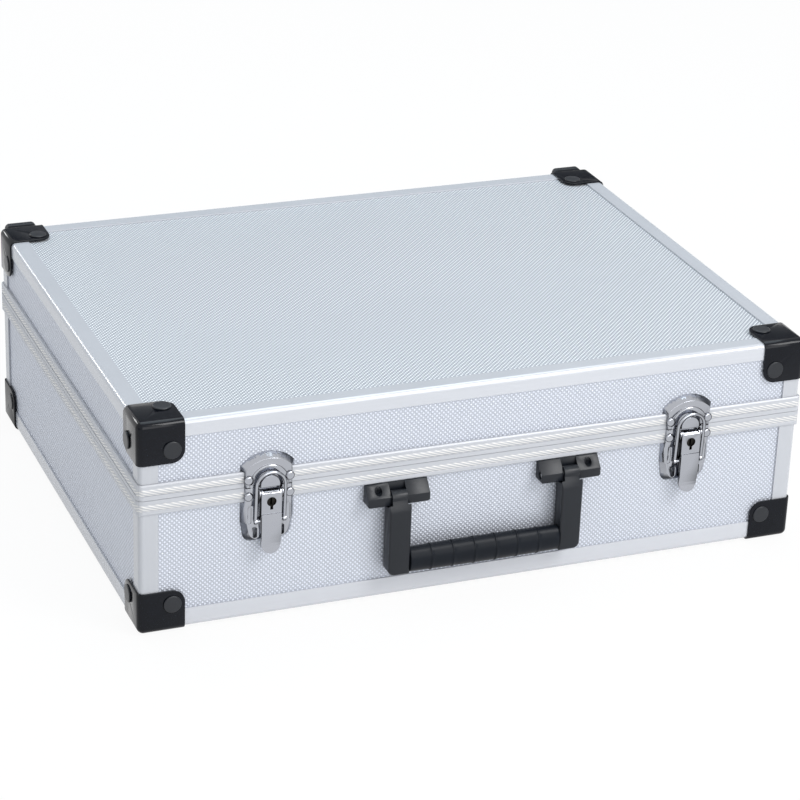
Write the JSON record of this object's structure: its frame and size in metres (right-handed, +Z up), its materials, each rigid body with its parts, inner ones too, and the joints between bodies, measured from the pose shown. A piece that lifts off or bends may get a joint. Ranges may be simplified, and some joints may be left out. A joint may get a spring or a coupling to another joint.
{
  "type": "tool case",
  "caption": "Shallow aluminium tool case with hinged lid, ribbed closing rails, black corner protectors, two draw latches with locks and a folding carrying handle",
  "frame": {"origin": "under the middle of the overall outline, on the floor that the lower protector rivets stand on", "axes": "+X to the right along the long side, +Y to the hinged rear, +Z up"},
  "size_m": [0.4444, 0.3528, 0.1424],
  "materials": {
    "dotted_aluminium": "satin sheet with small embossed dots",
    "satin_aluminium": "satin anodised extrusion",
    "rail_aluminium": "satin extrusion with a ribbed band",
    "black_protector": "glossy black",
    "black_rivet": "semi-gloss black",
    "black_foot": "satin black plastic",
    "chrome": "bright nickel-chrome plate",
    "plated_steel": "zinc plate",
    "brass": "dull brass",
    "handle_plastic": "satin moulded plastic",
    "grip_plastic": "satin moulded plastic with thin rings",
    "lining": "dark foam-backed lining"
  },
  "bodies": {
    "base": {"base_back_panel": "dotted_aluminium", "base_bottom_panel": "dotted_aluminium", "base_bottom_profiles": "satin_aluminium", "base_closing_rails": "rail_aluminium", "base_corner_profiles": "satin_aluminium", "base_floor_lining": "lining", "base_front_left_protector": "black_protector", "base_front_panel": "dotted_aluminium", "base_front_right_protector": "black_protector", "base_hinge_leaves": "plated_steel", "base_left_panel": "dotted_aluminium", "base_protector_rivets": "black_rivet", "base_rear_left_protector": "black_protector", "base_rear_right_protector": "black_protector", "base_right_panel": "dotted_aluminium", "base_round_rivets": "chrome", "base_stand_feet": "black_foot", "base_stay_studs": "plated_steel", "base_wall_linings": "lining", "handle_backing_plates": "plated_steel", "handle_bracket_screws": "plated_steel", "handle_pins": "plated_steel", "hinge_pins": "plated_steel", "latch_lever_pins": "plated_steel", "left_handle_bracket": "handle_plastic", "left_latch_plate": "chrome", "right_handle_bracket": "handle_plastic", "right_latch_plate": "chrome"},
    "lid": {"left_strike_plate": "chrome", "lid_back_panel": "dotted_aluminium", "lid_closing_rails": "rail_aluminium", "lid_corner_profiles": "satin_aluminium", "lid_front_left_protector": "black_protector", "lid_front_panel": "dotted_aluminium", "lid_front_right_protector": "black_protector", "lid_hinge_leaves": "plated_steel", "lid_left_panel": "dotted_aluminium", "lid_protector_rivets": "black_rivet", "lid_rear_left_protector": "black_protector", "lid_rear_right_protector": "black_protector", "lid_right_panel": "dotted_aluminium", "lid_round_rivets": "chrome", "lid_stand_feet": "black_foot", "lid_stay_studs": "plated_steel", "lid_top_lining": "lining", "lid_top_panel": "dotted_aluminium", "lid_top_profiles": "satin_aluminium", "lid_wall_linings": "lining", "right_strike_plate": "chrome"},
    "handle": {"handle_frame": "handle_plastic", "handle_grip": "grip_plastic"},
    "left_lever": {"left_latch_lever": "chrome"},
    "left_bail": {"left_latch_bail": "chrome"},
    "left_lock": {"left_lock_barrel": "brass"},
    "left_stay": {"left_stay_arm": "plated_steel"},
    "right_lever": {"right_latch_lever": "chrome"},
    "right_bail": {"right_latch_bail": "chrome"},
    "right_lock": {"right_lock_barrel": "brass"},
    "right_stay": {"right_stay_arm": "plated_steel"}
  },
  "joints": [
    {"name": "lid_hinge", "type": "hinge", "parent": "base", "child": "lid", "pos_m": [0, 0.17388, 0.0914], "axis": [-1, 0, 0], "range_deg": [0, 95]},
    {"name": "handle_swing", "type": "hinge", "parent": "base", "child": "handle", "pos_m": [0, -0.16803, 0.0732], "axis": [-1, 0, 0], "range_deg": [0, 92]},
    {"name": "left_lever_swing", "type": "hinge", "parent": "base", "child": "left_lever", "pos_m": [-0.14, -0.16862, 0.0887], "axis": [-1, 0, 0], "range_deg": [0, 120]},
    {"name": "left_bail_pivot", "type": "hinge", "parent": "left_lever", "child": "left_bail", "pos_m": [-0.14, -0.16783, 0.0697], "axis": [1, 0, 0], "range_deg": [0, 120]},
    {"name": "left_lock_turn", "type": "hinge", "parent": "left_lever", "child": "left_lock", "pos_m": [-0.14, -0.16953, 0.0832], "axis": [0, -1, 0], "range_deg": [0, 90]},
    {"name": "left_stay_pivot", "type": "hinge", "parent": "lid", "child": "left_stay", "pos_m": [-0.207, 0.11887, 0.1114], "axis": [1, 0, 0], "range_deg": [0, 95]},
    {"name": "right_lever_swing", "type": "hinge", "parent": "base", "child": "right_lever", "pos_m": [0.14, -0.16862, 0.0887], "axis": [-1, 0, 0], "range_deg": [0, 120]},
    {"name": "right_bail_pivot", "type": "hinge", "parent": "right_lever", "child": "right_bail", "pos_m": [0.14, -0.16783, 0.0697], "axis": [1, 0, 0], "range_deg": [0, 120]},
    {"name": "right_lock_turn", "type": "hinge", "parent": "right_lever", "child": "right_lock", "pos_m": [0.14, -0.16953, 0.0832], "axis": [0, -1, 0], "range_deg": [0, 90]},
    {"name": "right_stay_pivot", "type": "hinge", "parent": "lid", "child": "right_stay", "pos_m": [0.207, 0.11887, 0.1114], "axis": [1, 0, 0], "range_deg": [0, 95]}
  ],
  "couplings": [
    {"joint": "left_bail_pivot", "follows": "left_lever_swing", "ratio": 1},
    {"joint": "left_stay_pivot", "follows": "lid_hinge", "ratio": 1},
    {"joint": "right_bail_pivot", "follows": "right_lever_swing", "ratio": 1},
    {"joint": "right_stay_pivot", "follows": "lid_hinge", "ratio": 1}
  ]
}
